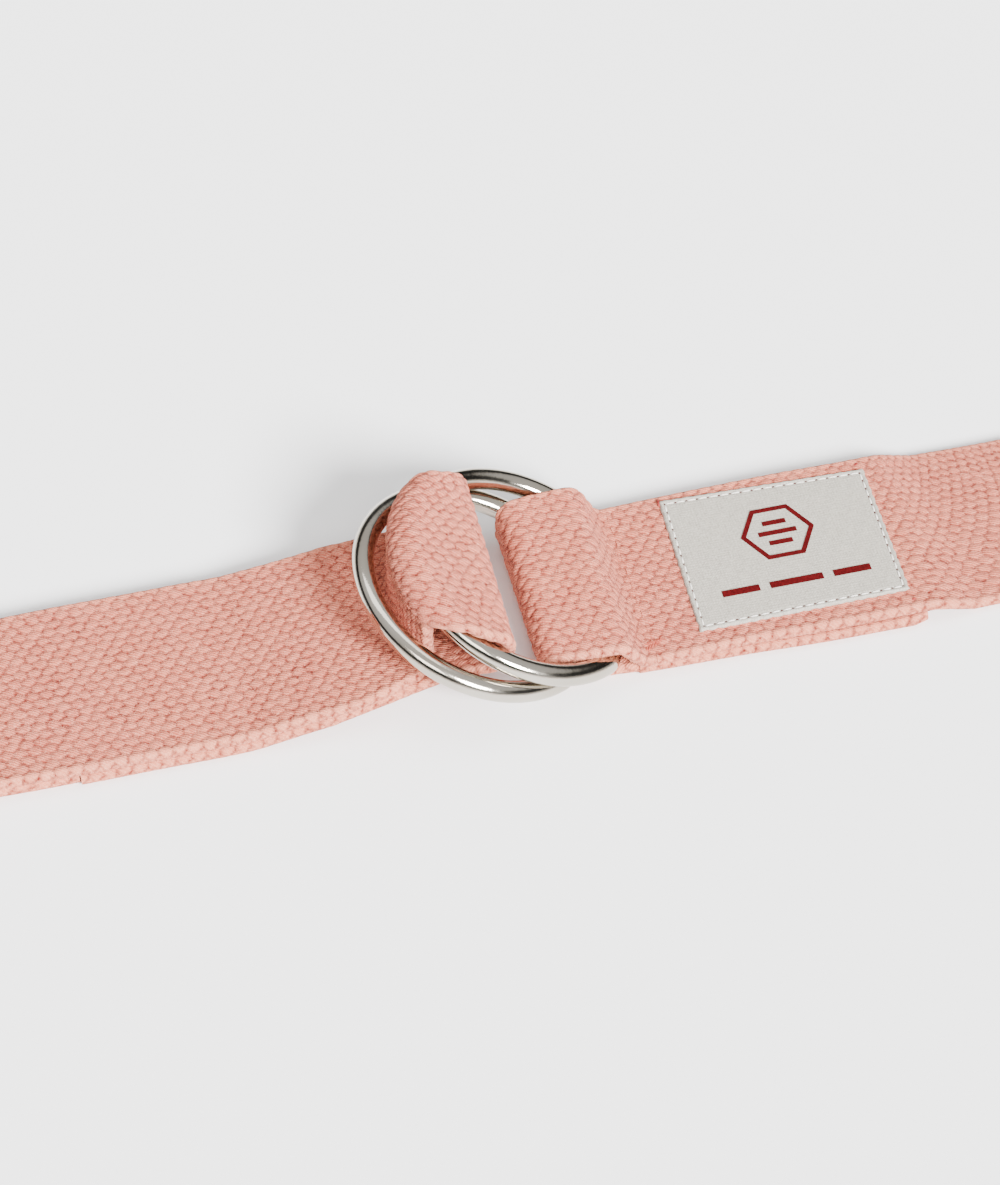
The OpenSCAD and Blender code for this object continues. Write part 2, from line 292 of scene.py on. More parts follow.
def spiral_path(turn_from, turn_to):
    """A path function for part of the roll, in turns counted inwards from where it meets the floor."""
    count = max(24, int(abs(turn_to - turn_from) * 120))
    turns = np.linspace(turn_from, turn_to, count)
    radius = ROLL_R - BAND_T / 2 - ROLL_PITCH * turns
    angle = -math.pi / 2 - turns * 2 * math.pi
    points = np.stack([ROLL_X + radius * np.cos(angle), ROLL_R + radius * np.sin(angle)], 1)
    return lambda y: points


def fold_edge_path(y):
    """The rounded edge of a folded corner, across the fold line."""
    turns = np.linspace(-math.pi / 2, math.pi / 2, 13)
    return np.stack([-LEVEL_1 * np.cos(turns), BAND_T + LEVEL_1 * np.sin(turns)], 1)[::-1]


# ---------------------------------------------------------------- woven band

# Each row's wobble, and each float's tone and rise, from tables that repeat
TABLE_ROWS = 64
TABLE_FLOATS = 1024
random_rows = np.random.default_rng(7)
ROW_WOBBLE = random_rows.uniform(-0.07, 0.07, TABLE_ROWS)
FLOAT_TONE = random_rows.uniform(0, 1, (TABLE_ROWS, TABLE_FLOATS))
FLOAT_RISE = random_rows.uniform(0.8, 1.12, (TABLE_ROWS, TABLE_FLOATS))


def weave(along, across, flip):
    """Height of the weave (0 to 1) and each float's tone, at places on the band."""
    along = along + 0.16 * np.sin(across * 2.9 + along * 0.7) + 0.1 * np.sin(along * 4.1 + across * 5.3)
    across = across + 0.08 * np.sin(along * 3.3) * np.sin(across * 1.9 + along * 0.45)
    base = np.floor((across + HALF_W) / ROW_PITCH)
    best = np.full(along.shape, -9.0)
    tone = np.zeros(along.shape)
    for offset in (-1, 0, 1):
        row = base + offset
        centre = (row + 0.5) * ROW_PITCH - HALF_W
        index = np.mod(row, TABLE_ROWS).astype(int)
        phase = along / FLOAT_PERIOD + 0.5 * np.mod(row + flip, 2) + ROW_WOBBLE[index]
        turn = np.floor(phase + 0.5).astype(int) % TABLE_FLOATS
        over = np.cos(2 * np.pi * phase)
        rise = FLOAT_LIFT * FLOAT_RISE[index, turn] * (0.5 + 0.5 * over) ** 0.4
        away = (across - centre) / ROW_PITCH / (1 + 0.1 * over)
        height = rise - FLOAT_DOME * away**2
        higher = height > best
        best = np.where(higher, height, best)
        tone = np.where(higher, FLOAT_TONE[index, turn], tone)
    return np.clip((best + FLOAT_FLOOR) / (FLOAT_LIFT + FLOAT_FLOOR), 0, 1), tone


def stations(half_w, step):
    """Places across the band from -1 to 1, closer together where its edges are rounded."""
    inner = half_w - EDGE_ROUND
    middle = np.linspace(-inner, inner, max(4, int(2 * inner / step)))
    bend = inner + EDGE_ROUND * np.sin(np.linspace(0.25, np.pi / 2, 6))
    return np.concatenate([-bend[::-1], middle, bend]) / half_w


def band_surface(path_at, half_w, step, shift, wander):
    """Grid of points across and along a band, its unit normals, its places and its length."""
    mid_path = path_at(0.0)
    length = path_length(mid_path)
    count = max(6, int(length / step) + 1)
    share = np.linspace(0, 1, count)
    half = half_w(share) if callable(half_w) else np.full(count, float(half_w))
    q = stations(HALF_W, step)
    ys = np.linspace(-half.max(), half.max(), 25)
    table = np.stack([spaced(path_at(y), count) for y in ys])
    grid = np.zeros((len(q), count, 3))
    for k in range(count):
        y = q * half[k]
        for axis, column in ((0, 0), (2, 1)):
            grid[:, k, axis] = np.interp(y, ys, table[:, k, column])
        grid[:, k, 1] = y + (shift(share[k]) if callable(shift) else shift)
    if wander:
        x = grid[:, :, 0]
        edge = np.abs(q)[:, None] ** 3 * np.sign(q)[:, None]
        grid[:, :, 1] += edge * wander * (np.sin(x / 11.0) + 0.6 * np.sin(x / 4.3 + 1.0))
        grid[:, :, 2] += 0.4 * wander * (1 + np.sin(x / 9.0 + q[:, None] * 2.0))
    d_along = np.gradient(grid, axis=1)
    d_across = np.gradient(grid, axis=0)
    normal = np.cross(d_along, d_across)
    normal /= np.linalg.norm(normal, axis=2, keepdims=True) + 1e-12
    along = np.broadcast_to(share * length, grid.shape[:2])
    across = np.broadcast_to((q * HALF_W)[:, None], grid.shape[:2])
    return grid, normal, along, across, length


def half_thickness(across):
    """Half the band's thickness under the weave, rounded off at its edges."""
    room = np.clip((np.abs(across) - (HALF_W - EDGE_ROUND)) / EDGE_ROUND, 0, 1)
    lip = 0.1 * np.exp(-((HALF_W - 1.3 - np.abs(across)) / 0.8) ** 2)
    return (BAND_T / 2 - WEAVE_DEPTH * 0.6 + lip) * np.sqrt(np.clip(1 - 0.97 * room**2, 0, 1))


def grid_faces(ni, nk):
    """Faces of a closed slab from two grids of ni by nk points, one above the other."""
    i, k = np.meshgrid(np.arange(ni - 1), np.arange(nk - 1), indexing="ij")
    a = (i * nk + k).ravel()
    top = np.stack([a, a + 1, a + nk + 1, a + nk], 1)
    size = ni * nk
    bottom = top[:, ::-1] + size
    near = np.arange(nk - 1)
    far = near + (ni - 1) * nk
    start = np.arange(ni - 1) * nk
    end = start + nk - 1
    rims = [
        np.stack([near + 1, near, near + size, near + 1 + size], 1),
        np.stack([far, far + 1, far + 1 + size, far + size], 1),
        np.stack([start, start + nk, start + nk + size, start + size], 1),
        np.stack([end + nk, end, end + size, end + nk + size], 1),
    ]
    return np.concatenate([top, bottom, *rims])


def make_mesh(name, points, faces, values=None):
    """A mesh object from points in millimetres, with named values for the material at each point."""
    mesh = bpy.data.meshes.new(name)
    mesh.from_pydata((np.asarray(points) * MM).tolist(), [], np.asarray(faces).tolist())
    for key, value in (values or {}).items():
        attribute = mesh.attributes.new(key, "FLOAT", "POINT")
        attribute.data.foreach_set("value", np.asarray(value, np.float32).ravel())
    mesh.polygons.foreach_set("use_smooth", np.ones(len(mesh.polygons), bool))
    mesh.update()
    obj = bpy.data.objects.new(name, mesh)
    bpy.context.scene.collection.objects.link(obj)
    return obj


def sharpen_ends(mesh, count):
    """Marks the edges of a band's two cut ends as sharp, so that stretches meet without a crease."""
    ends = np.empty(len(mesh.edges) * 2, np.int64)
    mesh.edges.foreach_get("vertices", ends)
    column = ends.reshape(-1, 2) % count
    cut = (column == 0).all(1) | (column == count - 1).all(1)
    sharp = mesh.attributes.new("sharp_edge", "BOOLEAN", "EDGE")
    sharp.data.foreach_set("value", cut)


def placed(points, x, y, turn):
    """Points turned about the upright axis, by turn in degrees, and then moved."""
    angle = math.radians(turn)
    across = points[:, 0] * math.cos(angle) - points[:, 1] * math.sin(angle) + x
    along = points[:, 0] * math.sin(angle) + points[:, 1] * math.cos(angle) + y
    return np.stack([across, along, points[:, 2]], 1)


def both(above, below):
    """One list of values for the upper side followed by the lower side."""
    return np.concatenate([above.ravel(), below.ravel()])


def band(name, path_at, body, nodes, starts_at=0.0, half_w=HALF_W, step=FINE_STEP, shift=0.0,
         place=None, wander=0.12):
    """A stretch of woven band along a path. place is (x, y, turn in degrees) for a turned stretch."""
    grid, normal, along, across, length = band_surface(path_at, half_w, step, shift, wander)
    along = along + starts_at
    thick = half_thickness(across)
    above, tone_above = weave(along, across, 0)
    below, tone_below = weave(along, across, 1)
    fade = np.clip((HALF_W - np.abs(across)) / 0.7, 0.25, 1)
    top = grid + normal * (thick + WEAVE_DEPTH * above * fade)[..., None]
    bottom = grid - normal * (thick + WEAVE_DEPTH * below * fade)[..., None]
    points = np.concatenate([top.reshape(-1, 3), bottom.reshape(-1, 3)])
    if place:
        points = placed(points, *place)
    values = {
        "weave": both(above, below),
        "tone": both(tone_above, tone_below),
        "along": both(along, along),
        "across": both(across, across),
    }
    obj = make_mesh(name, points, grid_faces(*grid.shape[:2]), values)
    sharpen_ends(obj.data, grid.shape[1])
    obj.data.materials.append(webbing_material)
    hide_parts(*nodes)
    if body:
        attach(obj, body)
    return obj


# ---------------------------------------------------------------- materials

def new_material(name):
    """A new node material, its tree and its shader."""
    material = bpy.data.materials.new(name)
    material.use_nodes = True
    tree = material.node_tree
    shader = tree.nodes["Principled BSDF"]
    return material, tree, shader


def node(tree, kind, **settings):
    """A shader node; settings are its properties, or its inputs where the name is an input's."""
    made = tree.nodes.new(kind)
    for key, value in settings.items():
        label = key.replace("_", " ").title()
        if label in made.inputs:
            made.inputs[label].default_value = value
        else:
            setattr(made, key, value)
    return made


def attribute_value(tree, name):
    """The output of an attribute that a mesh carries."""
    return node(tree, "ShaderNodeAttribute", attribute_name=name).outputs["Fac"]


def math_node(tree, operation, first, second=0.0):
    """A maths node's output; each input is a number or another output."""
    made = node(tree, "ShaderNodeMath", operation=operation)
    for socket, value in zip(made.inputs, (first, second)):
        if isinstance(value, (int, float)):
            socket.default_value = value
        else:
            tree.links.new(value, socket)
    return made.outputs[0]


def weighted(tree, *terms):
    """The sum of values, each given as (value, weight)."""
    parts = [math_node(tree, "MULTIPLY", value, weight) for value, weight in terms]
    total = parts[0]
    for part in parts[1:]:
        total = math_node(tree, "ADD", total, part)
    return total


def mix_colour(tree, factor, first, second):
    """Two colours mixed by a factor, which is an output; each is a colour or an output."""
    made = node(tree, "ShaderNodeMix", data_type="RGBA")
    for socket, value in ((made.inputs[0], factor), (made.inputs[6], first), (made.inputs[7], second)):
        if isinstance(value, tuple):
            socket.default_value = (*value, 1)
        else:
            tree.links.new(value, socket)
    return made.outputs[2]


def noise(tree, scale, detail=3.0, roughness=0.6):
    """Noise in the object's own space; scale is in features per metre."""
    where = node(tree, "ShaderNodeTexCoord").outputs["Object"]
    made = node(tree, "ShaderNodeTexNoise", scale=scale, detail=detail, roughness=roughness)
    tree.links.new(where, made.inputs["Vector"])
    return made.outputs["Fac"]


def stretched(tree, value, low, high):
    """A value moved so that low becomes 0 and high becomes 1."""
    made = node(tree, "ShaderNodeMapRange")
    tree.links.new(value, made.inputs["Value"])
    made.inputs["From Min"].default_value = low
    made.inputs["From Max"].default_value = high
    return made.outputs["Result"]


def bump(tree, shader, height, distance, strength):
    """Adds a bump to a shader; distance is in metres."""
    made = node(tree, "ShaderNodeBump", strength=strength, distance=distance)
    tree.links.new(height, made.inputs["Height"])
    tree.links.new(made.outputs["Normal"], shader.inputs["Normal"])


# Linear colours of the cotton, from the deepest yarn to the painted shade in the hollows between them
YARN_DEEP = (0.44, 0.080, 0.048)
YARN_PALE = (0.64, 0.185, 0.115)
YARN_WARM = (0.62, 0.18, 0.085)
# Pale colour for the flecks, and also painted as highlight along the twist
YARN_LIGHT = (0.80, 0.36, 0.25)
YARN_EDGE = (0.74, 0.31, 0.19)
# Darker red painted as shade in the low spots of the fine fibre relief
YARN_FIBRE_SHADE = (0.32, 0.045, 0.028)
# Near-black red painted as shade in the hollows between the floats
YARN_HOLLOW_SHADE = (0.11, 0.006, 0.004)


def make_webbing_material():
    """Mottled cotton: pale twisted yarns, with painted shade in the hollows between them and in the fibres'
    low spots, and painted highlight along the twist.
    """
    material, tree, shader = new_material("webbing_cotton")
    height = attribute_value(tree, "weave")
    tone = attribute_value(tree, "tone")
    along = attribute_value(tree, "along")
    across = attribute_value(tree, "across")
    slant = weighted(tree, (along, 7.0), (across, 11.0), (noise(tree, 900), 7.0))
    ply = stretched(tree, math_node(tree, "SINE", slant), -1, 1)
    fibres = noise(tree, 4200, 4, 0.75)
    patches = stretched(tree, noise(tree, 950, 2), 0.3, 0.7)
    wide = stretched(tree, noise(tree, 60, 2), 0.3, 0.7)
    blend = weighted(tree, (tone, 0.45), (patches, 0.55))
    yarn = mix_colour(tree, blend, YARN_DEEP, YARN_PALE)
    yarn = mix_colour(tree, math_node(tree, "MULTIPLY", wide, 0.25), yarn, YARN_WARM)
    # Painted highlight along the crests of the twisted plies
    yarn = mix_colour(tree, math_node(tree, "MULTIPLY", ply, 0.42), yarn, YARN_LIGHT)
    edge = stretched(tree, math_node(tree, "ABSOLUTE", across), 16.6, 18.6)
    yarn = mix_colour(tree, math_node(tree, "MULTIPLY", edge, 0.5), yarn, YARN_EDGE)
    uneven = math_node(tree, "MULTIPLY", patches, 0.2)
    open_height = stretched(tree, math_node(tree, "ADD", height, uneven), 0.22, 0.74)
    # Painted shade: the hollows between the floats are darkened by the weave's height
    base = mix_colour(tree, open_height, YARN_HOLLOW_SHADE, yarn)
    # Painted shade: darker red where the fine fibre relief is low
    fibre_shade = math_node(tree, "MULTIPLY", stretched(tree, fibres, 0.62, 0.36), 0.4)
    base = mix_colour(tree, fibre_shade, base, YARN_FIBRE_SHADE)
    fleck = math_node(tree, "MULTIPLY", stretched(tree, noise(tree, 2600, 3, 0.7), 0.52, 0.68), 0.5)
    base = mix_colour(tree, fleck, base, YARN_LIGHT)
    tree.links.new(base, shader.inputs["Base Color"])
    shader.inputs["Roughness"].default_value = 0.92
    shader.inputs["Specular IOR Level"].default_value = 0.06
    shader.inputs["Sheen Weight"].default_value = 0.07
    shader.inputs["Sheen Roughness"].default_value = 0.55
    shader.inputs["Sheen Tint"].default_value = (1.0, 0.86, 0.8, 1)
    relief = weighted(tree, (ply, 0.5), (fibres, 0.8))
    bump(tree, shader, relief, distance=0.00022, strength=1.0)
    return material


webbing_material = make_webbing_material()


def make_ring_material():
    """Nickel plate with a faint warm tint, fine marks and small dulled patches."""
    material, tree, shader = new_material("nickel_plate")
    shader.inputs["Metallic"].default_value = 1.0
    dull = stretched(tree, noise(tree, 120, 4), 0.35, 0.75)
    rough = math_node(tree, "ADD", 0.09, math_node(tree, "MULTIPLY", dull, 0.09))
    tree.links.new(rough, shader.inputs["Roughness"])
    cloudy = stretched(tree, noise(tree, 45, 2), 0.35, 0.7)
    tint = mix_colour(tree, cloudy, (0.50, 0.465, 0.405), (0.36, 0.315, 0.25))
    tree.links.new(tint, shader.inputs["Base Color"])
    marks = weighted(tree, (noise(tree, 380, 3), 1.0), (noise(tree, 2600, 2), 0.15))
    bump(tree, shader, marks, distance=0.00012, strength=0.25)
    return material


def make_label_material():
    """Ivory woven satin: fine ribs both ways over a fine mix of two tones, with painted highlight on the
    raised ribs.
    """
    material, tree, shader = new_material("label_satin")
    where = node(tree, "ShaderNodeTexCoord").outputs["Object"]
    ribs = []
    for direction in ("X", "Y"):
        wave = node(tree, "ShaderNodeTexWave", scale=560.0, distortion=1.5, wave_type="BANDS",
                    bands_direction=direction)
        wave.inputs["Detail Scale"].default_value = 3.0
        tree.links.new(where, wave.inputs["Vector"])
        ribs.append(wave.outputs["Fac"])
    weave_height = math_node(tree, "MULTIPLY", ribs[0], ribs[1])
    threads = stretched(tree, noise(tree, 2300, 3, 0.8), 0.32, 0.68)
    base = mix_colour(tree, threads, (0.25, 0.23, 0.19), (0.42, 0.39, 0.335))
    # Painted highlight: the raised ribs are made lighter
    base = mix_colour(tree, math_node(tree, "MULTIPLY", weave_height, 0.35), base, (0.50, 0.475, 0.42))
    tree.links.new(base, shader.inputs["Base Color"])
    shader.inputs["Roughness"].default_value = 0.62
    shader.inputs["Sheen Weight"].default_value = 0.1
    relief = math_node(tree, "ADD", weave_height, math_node(tree, "MULTIPLY", threads, 0.6))
    bump(tree, shader, relief, distance=0.00006, strength=0.6)
    return material


def make_thread_material(name, colour, dark, rough=0.8):
    """Sewing thread: two tones in fine patches, with a fine relief."""
    material, tree, shader = new_material(name)
    blend = stretched(tree, noise(tree, 2500, 3), 0.35, 0.65)
    tree.links.new(mix_colour(tree, blend, dark, colour), shader.inputs["Base Color"])
    shader.inputs["Roughness"].default_value = rough
    shader.inputs["Specular IOR Level"].default_value = 0.08
    bump(tree, shader, noise(tree, 5200, 3), distance=0.00008, strength=0.7)
    return material


ring_material = make_ring_material()
label_material = make_label_material()
thread_material = make_thread_material("seam_thread", (0.52, 0.14, 0.09), (0.26, 0.035, 0.022))
dark_thread_material = make_thread_material("dark_thread", (0.36, 0.06, 0.05), (0.2, 0.02, 0.02))
label_edge_material = make_thread_material("label_edge_thread", (0.84, 0.81, 0.76), (0.62, 0.58, 0.53))
motif_material = make_thread_material("motif_thread", (0.085, 0.003, 0.004), (0.045, 0.0015, 0.002), 0.9)
# Near-black brown for the needle holes: painted shade
shade_dot_material = make_thread_material("needle_hole", (0.10, 0.05, 0.045), (0.05, 0.02, 0.02), 0.95)

# ---------------------------------------------------------------- camera

CAMERA_ELEVATION = math.radians(50)
CAMERA_TURN = math.radians(13.86)
CAMERA_DISTANCE = 600.0
RING_MIDDLE = Vector((-52.0, 5.95, 0.0))


def add_camera():
    """The camera, aimed near the rings from in front and above."""
    data = bpy.data.cameras.new("camera")
    data.lens = 99.95
    data.sensor_width = 36.0
    data.clip_start = 0.01
    data.clip_end = 20.0
    camera = bpy.data.objects.new("camera", data)
    back = Vector((
        -math.sin(CAMERA_TURN) * math.cos(CAMERA_ELEVATION),
        -math.cos(CAMERA_TURN) * math.cos(CAMERA_ELEVATION),
        math.sin(CAMERA_ELEVATION),
    ))
    camera.location = (RING_MIDDLE + back * CAMERA_DISTANCE) * MM
    camera.rotation_mode = "QUATERNION"
    camera.rotation_quaternion = (-back).to_track_quat("-Z", "Y")
    bpy.context.scene.collection.objects.link(camera)
    bpy.context.scene.camera = camera


add_camera()

# ---------------------------------------------------------------- the band

# The loaded layer's length up to the rise, and where its far part ends
LOAD_LENGTH = RISE_START_X - CORNER_LEFT_X
LOAD_SPLIT = 62.0


def varying(values):
    """A size that changes along a stretch: values are (share of the length, size)."""
    shares, sizes = zip(*values)
    return lambda share: np.interp(share, shares, sizes)


def build_label_end():
    """The ring pocket, the two layers under the label, and the run on to the first corner."""
    band("pocket_webbing", pocket_path, "strap", ["ring_pocket"],
         half_w=varying([(0, 18.6), (0.2, 17.7), (0.45, 17.7), (0.62, 18.6), (0.85, 19.1), (1, 18.9)]),
         shift=lambda share: -0.6 * share)
    band("fold_webbing", flat_path(SEAM_X, FOLD_END_X, LEVEL_1), "strap", ["fold_under"], 3.1,
         half_w=varying([(0, 18.7), (0.5, 19), (0.95, 19), (1, 18.1)]),
         shift=lambda share: -0.3 - 0.9 * share)
    band("label_run_webbing", flat_path(LABEL_RUN_X, FOLD_END_X, LEVEL_2), "strap", ["label_run"],
         LABEL_RUN_X - SEAM_X, half_w=varying([(0, 18.9), (0.25, 19), (1, 19)]),
         shift=lambda share: -0.6 * max(0.0, 1 - share * 3))
    band("main_run_webbing", main_path, "strap", ["main_run"], FOLD_END_X - SEAM_X)


def build_loop():
    """The loop's legs with their folded corners, and the loaded layer back to the rings."""
    leg_length = CORNER_RIGHT_X - CORNER_LEFT_X
    corners = [
        (CORNER_RIGHT_X, 0, -90),
        (CORNER_RIGHT_X, -LOOP_DEPTH, -180),
        (CORNER_LEFT_X, -LOOP_DEPTH, -270),
        (CORNER_LEFT_X, 0, 0),
    ]
    folds = [make_fold_edge(f"corner_fold_{number}", *corner) for number, corner in enumerate(corners, 1)]
    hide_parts("corner_folds")
    legs = [
        ("leg_right_webbing", "leg_right", leg_path(LOOP_DEPTH), (CORNER_RIGHT_X, 0, -90)),
        ("leg_near_webbing", "leg_near", leg_path(leg_length), (CORNER_RIGHT_X, -LOOP_DEPTH, 180)),
        ("leg_left_webbing", "leg_left", leg_path(LOOP_DEPTH), (CORNER_LEFT_X, -LOOP_DEPTH, 90)),
    ]
    for (name, replaced, path, place), fold in zip(legs, folds):
        band(name, path, "strap", [replaced], step=COARSE_STEP, place=place)
    load_path = leg_path(LOAD_LENGTH, cut_end=False)
    band("load_far_webbing", lambda y: spaced(load_path(y), 60, LOAD_SPLIT - y), "strap", [],
         step=COARSE_STEP, place=(CORNER_LEFT_X, 0, 0))
    band("load_webbing", flat_path(CORNER_LEFT_X + LOAD_SPLIT, RISE_START_X, LEVEL_1), "strap", ["load_run"],
         shift=-0.5)


def build_ring_fold():
    """The loaded layer's rise, its fold over the inner ring, and the tail that comes back from it."""
    rise = band("load_rise_webbing", load_rise_path, None, ["load_rise"], LOAD_LENGTH - LOAD_SPLIT,
                half_w=varying([(0, 19), (0.45, 19), (0.8, 17.2), (1, 16.4)]),
                shift=lambda share: -0.5 * (1 - share))
    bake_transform(rise)
    band("wrap_webbing", wrap_path, "inner_ring", ["ring_wrap"],
         half_w=varying([(0, 14.2), (0.12, 17.6), (0.3, 18.8), (0.5, 18.6), (0.7, 17.2), (1, 16.4)]),
         shift=lambda share: -1.0 * math.sin(math.pi * share))
    tail = band("tail_rise_webbing", tail_rise_path, None, ["tail_rise"], RISE_START_X - BRIDGE_START_X,
                half_w=varying([(0, 19), (0.5, 19), (0.62, 18.2), (0.74, 17.2), (0.82, 14.2), (1, 14.2)]),
                shift=varying([(0.55, 0), (0.74, 0.8), (0.82, 0), (1, 0)]))
    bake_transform(tail)


def build_tail():
    """The flat tail, its bridge over the fourth corner, and the roll with its sewn hem."""
    band("tail_webbing", flat_path(BRIDGE_START_X, RISE_START_X, LEVEL_2), "strap", ["tail_run"])
    band("bridge_webbing", bridge_path, "strap", ["tail_bridge"], -path_length(bridge_path(0)), step=0.4)
    band("tail_floor_webbing", flat_path(ROLL_X, BRIDGE_END_X, LEVEL_1), "strap", ["tail_floor"],
         step=COARSE_STEP)
    turns = (ROLL_R - ROLL_CORE_R) / ROLL_PITCH - 0.35
    band("roll_outside_webbing", spiral_path(0, 1.0), "strap", [], step=0.45, wander=0)
    roll = band("roll_inside_webbing", spiral_path(1.0, turns), "strap", ["tail_roll"], step=1.0,
                wander=0)
    add_hem()


def make_fold_edge(name, x, y, turn):
    """The rounded edge of one folded corner."""
    half = HALF_W * math.sqrt(2)
    grid, normal, along, across, _ = band_surface(fold_edge_path, half, step=0.5, shift=0, wander=0)
    thick = half_thickness(across)
    above, tone = weave(across + along * 0.3, along * 3, 0)
    top = grid + normal * (thick + WEAVE_DEPTH * above)[..., None]
    bottom = grid - normal * (thick * 0.9)[..., None]
    points = np.concatenate([top.reshape(-1, 3), bottom.reshape(-1, 3)])
    values = {
        "weave": both(above, above),
        "tone": both(tone, tone),
        "along": both(along, along),
        "across": both(across, across),
    }
    # The fold line runs halfway between the two legs that meet at the corner
    points = placed(points, x, y, turn - 45)
    obj = make_mesh(name, points, grid_faces(*grid.shape[:2]), values)
    obj.data.materials.append(webbing_material)
    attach(obj, "strap")
    return obj


def add_hem():
    """The folded and sewn end of the tail, at the heart of the roll."""
    low, high = box_mm("tail_hem")
    middle_z = (low[2] + high[2]) / 2
    path = rounded([
        (high[0], middle_z + LEVEL_1),
        (low[0] + 0.5, middle_z + LEVEL_1, 0.95),
        (low[0] + 0.5, middle_z - LEVEL_1, 0.95),
        (high[0] - 2, middle_z - LEVEL_1),
    ])
    band("hem_webbing", lambda y: path, "strap", ["tail_hem"], step=0.7, wander=0)


build_label_end()
build_loop()
build_ring_fold()
build_tail()

# ---------------------------------------------------------------- rings

def recolour(name, material):
    """Gives a CAD piece that is shown as it is its material."""
    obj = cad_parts[name]
    obj.data.materials.clear()
    obj.data.materials.append(material)
    return obj


for ring in ("outer_ring", "inner_ring"):
    for polygon in recolour(ring, ring_material).data.polygons:
        polygon.use_smooth = True

# ---------------------------------------------------------------- label and stitches

LABEL_TOP = box_mm("label")[1][2]
LABEL_FACE = LABEL_TOP - 0.06
LABEL_BASE = box_mm("label")[0][2]
LABEL_L = 39.4
LABEL_W = 30.8
LABEL_STITCH_INSET = 0.95
LABEL_STITCH_PITCH = 2.0
# Far left, far right, near right and near left: the label is sewn on slightly askew
LABEL_CORNERS = [(-19.2, 16.8), (20.1, 15.5), (19.3, -14.5), (-20.3, -15.0)]


def label_point(u, v):
    """A place on the label, u and v from 0 to 1 along and across it."""
    far_left, far_right, near_right, near_left = [np.array(c) for c in LABEL_CORNERS]
    near = near_left * (1 - u) + near_right * u
    far = far_left * (1 - u) + far_right * u
    return near * (1 - v) + far * v


def build_label():
    """A thin woven patch with folded edges, sewn down so that it dips along its stitches."""
    count_u, count_v = 160, 124
    us, vs = np.linspace(0, 1, count_u), np.linspace(0, 1, count_v)
    top, bottom = [], []
    for v in vs:
        for u in us:
            x, y = label_point(u, v)
            inset = min(u * LABEL_L, (1 - u) * LABEL_L, v * LABEL_W, (1 - v) * LABEL_W)
            wave = 0.07 * math.sin(x * 1.7 + y * 0.4) * math.sin(y * 1.3)
            ragged = 0.09 * math.sin(x * 3.1 + y * 2.7) * math.exp(-inset / 0.4)
            lip = 0.16 * math.exp(-((inset - 0.45) / 0.3) ** 2)
            dip = -0.17 * math.exp(-((inset - LABEL_STITCH_INSET) / 0.22) ** 2)
            rounding = -0.3 * max(0.0, 1 - inset / 0.35) ** 2
            top.append((x + ragged, y + ragged, LABEL_FACE + lip + dip + rounding + wave * 0.4))
            bottom.append((x, y, LABEL_BASE - 0.15))
    obj = make_mesh("label_patch", np.array(top + bottom), grid_faces(count_v, count_u)[:, ::-1])
    obj.data.materials.append(label_material)
    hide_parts("label")
    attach(obj, "strap")


def stitch(centre, direction, length, radius, sink, sides=8, rings=9):
    """Points and faces of one stitch: a plump thread that dives in at both ends."""
    direction = unit([*direction, 0])
    side = np.array([-direction[1], direction[0], 0])
    points = []
    for t in np.linspace(-1, 1, rings):
        swell = radius * math.sqrt(max(1 - abs(t) ** 3 * 0.96, 0.02))
        middle = np.array(centre) + direction * length / 2 * t
        middle[2] -= sink * abs(t) ** 3
        for k in range(sides):
            turn = 2 * math.pi * k / sides
            lift = np.array([0, 0, math.sin(turn) * swell * 0.75])
            points.append(middle + side * math.cos(turn) * swell + lift)
    faces = [
        (r * sides + k, r * sides + (k + 1) % sides, (r + 1) * sides + (k + 1) % sides, (r + 1) * sides + k)
        for r in range(rings - 1)
        for k in range(sides)
    ]
    caps = [tuple(range(sides))[::-1], tuple(range((rings - 1) * sides, rings * sides))]
    return points, faces, caps


def stitches(name, places, length, radius, sink, material, nodes):
    """One object of many stitches; places are (centre, direction), and sink is how far the ends dive."""
    mesh = bpy.data.meshes.new(name)
    points, faces = [], []
    for centre, direction in places:
        new_points, new_faces, caps = stitch(centre, direction, length, radius, sink)
        base = len(points)
        points += [tuple(p * MM) for p in new_points]
        faces += [tuple(base + i for i in face) for face in new_faces + caps]
    mesh.from_pydata(points, [], faces)
    mesh.polygons.foreach_set("use_smooth", np.ones(len(mesh.polygons), bool))
    mesh.materials.append(material)
    obj = bpy.data.objects.new(name, mesh)
    bpy.context.scene.collection.objects.link(obj)
    if nodes:
        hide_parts(*nodes)
    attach(obj, "strap")


def label_stitch_places(z, offset=0.0):
    """Places of evenly spaced stitches just inside the label's edges, with their directions."""
    places = []
    inset_u, inset_v = LABEL_STITCH_INSET / LABEL_L, LABEL_STITCH_INSET / LABEL_W
    loops = [
        ((inset_u, 1 - inset_v), (1 - inset_u, 1 - inset_v)),
        ((1 - inset_u, 1 - inset_v), (1 - inset_u, inset_v)),
        ((1 - inset_u, inset_v), (inset_u, inset_v)),
        ((inset_u, inset_v), (inset_u, 1 - inset_v)),
    ]
    for start, end in loops:
        a, b = label_point(*start), label_point(*end)
        count = int(np.linalg.norm(b - a) / LABEL_STITCH_PITCH)
        for i in range(count):
            t = (i + 0.5 + offset) / count
            if 0 <= t <= 1:
                x, y = a * (1 - t) + b * t
                places.append(((x, y, z), b - a))
    return places


